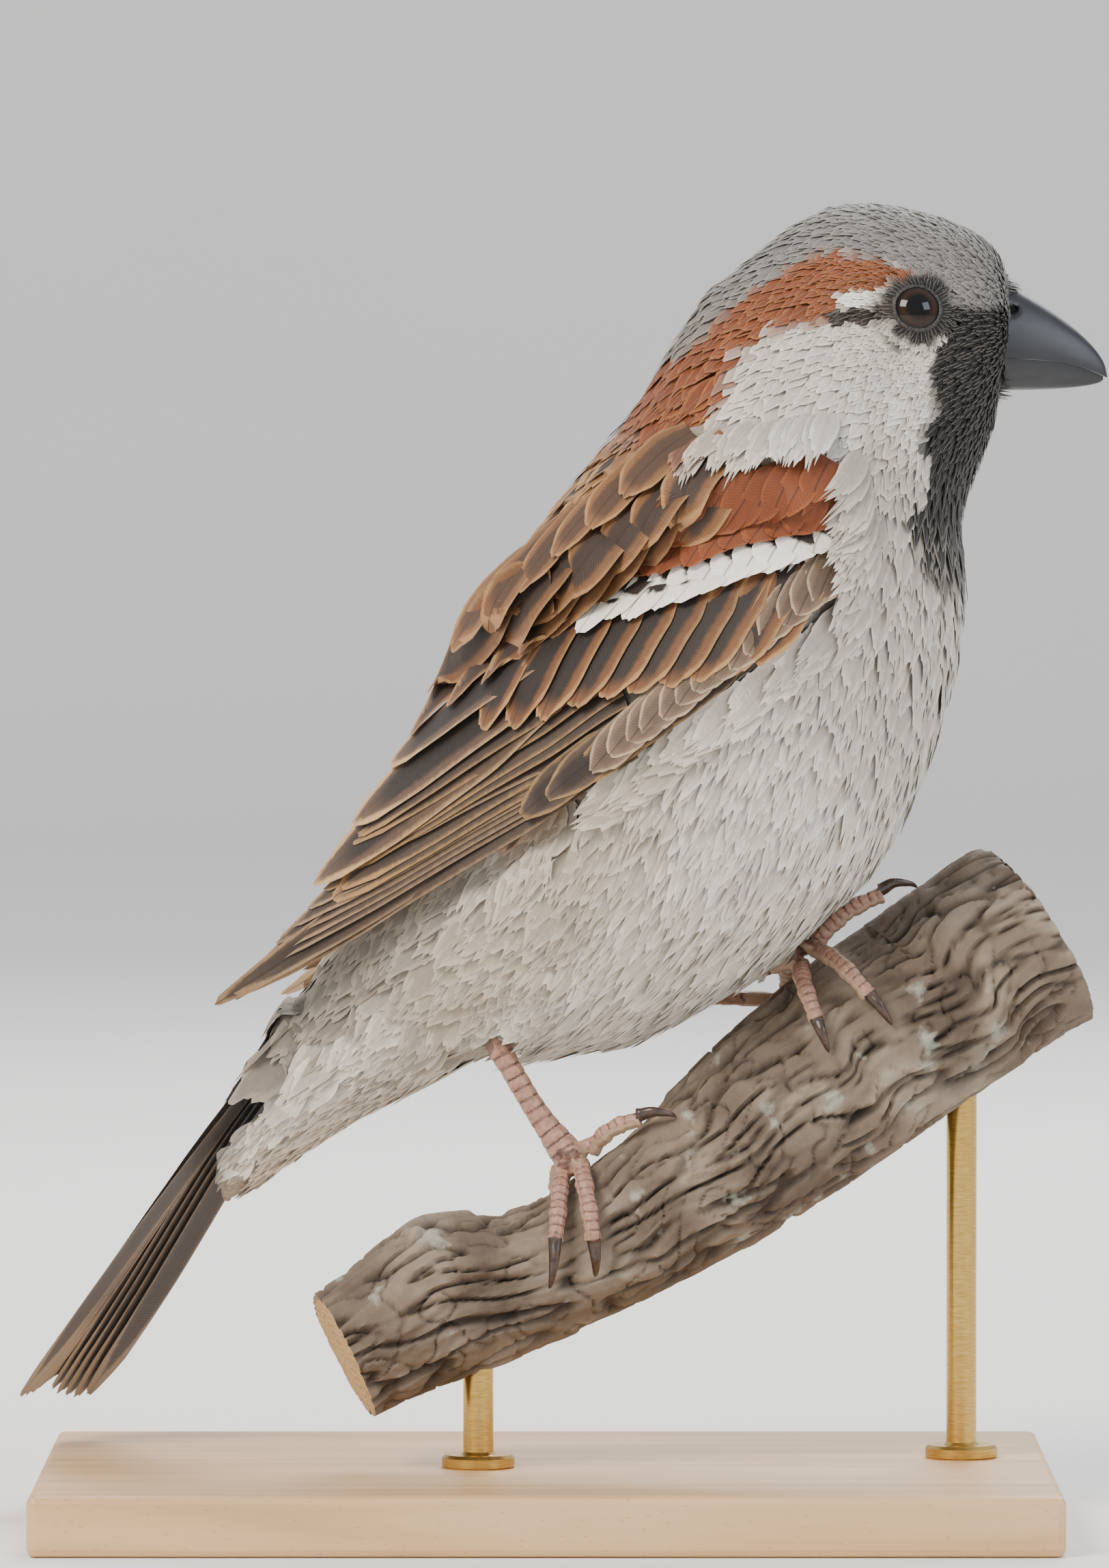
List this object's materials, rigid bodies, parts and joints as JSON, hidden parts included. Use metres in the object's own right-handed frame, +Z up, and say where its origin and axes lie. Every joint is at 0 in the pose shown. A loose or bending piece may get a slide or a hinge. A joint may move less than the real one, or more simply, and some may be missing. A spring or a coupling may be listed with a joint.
{
  "type": "house sparrow museum model",
  "caption": "Life-size still model of a perched male house sparrow gripping a short cut length of branch, held by two rods on a flat base.",
  "frame": {"origin": "centre of the stand's flat underside, on the surface it stands on", "axes": "+X is the way the bill points, +Y is the bird's left, +Z is up; the head is in profile along X, and the trunk, wings and tail are turned 18 degrees to the bird's right"},
  "size_m": [0.1085, 0.068, 0.1308],
  "materials": {
    "head_feathers": "soft short feathers: ash-grey crown, chestnut behind the eye, pale cheek, black bib",
    "body_feathers": "soft feathers: streaked brown back, grey rump, pale grey underparts",
    "wing_feathers": "overlapping vaned feathers, dark brown with chestnut and buff edges and one white bar",
    "tail_feathers": "long dark brown vaned feathers with narrow buff edges",
    "bill_horn": "black horn with a soft sheen",
    "claw_horn": "dark brown horn",
    "leg_skin": "pinkish-brown scaled skin",
    "eye": "dark brown polished glass eye with a black pupil",
    "bark": "rough furrowed bark with cut ends of bare wood",
    "stand_wood": "plain satin-lacquered beech",
    "stand_brass": "satin brass rod with a turned flange"
  },
  "bodies": {
    "root": {"head": "head_feathers", "neck": "body_feathers", "trunk": "body_feathers", "thigh_left": "body_feathers", "thigh_right": "body_feathers", "wing_left_coverts": "wing_feathers", "wing_left_secondaries": "wing_feathers", "wing_left_primaries": "wing_feathers", "wing_right_coverts": "wing_feathers", "wing_right_secondaries": "wing_feathers", "wing_right_primaries": "wing_feathers", "tail": "tail_feathers", "bill_upper": "bill_horn", "bill_lower": "bill_horn", "eye_left": "eye", "eye_right": "eye", "tarsus_left": "leg_skin", "tarsus_right": "leg_skin", "toe_left_back": "leg_skin", "toe_left_inner": "leg_skin", "toe_left_middle": "leg_skin", "toe_left_outer": "leg_skin", "toe_right_back": "leg_skin", "toe_right_inner": "leg_skin", "toe_right_middle": "leg_skin", "toe_right_outer": "leg_skin", "claw_left_back": "claw_horn", "claw_left_inner": "claw_horn", "claw_left_middle": "claw_horn", "claw_left_outer": "claw_horn", "claw_right_back": "claw_horn", "claw_right_inner": "claw_horn", "claw_right_middle": "claw_horn", "claw_right_outer": "claw_horn", "perch_branch": "bark", "stand_base": "stand_wood", "stand_rod_1": "stand_brass", "stand_rod_2": "stand_brass"}
  },
  "joints": []
}
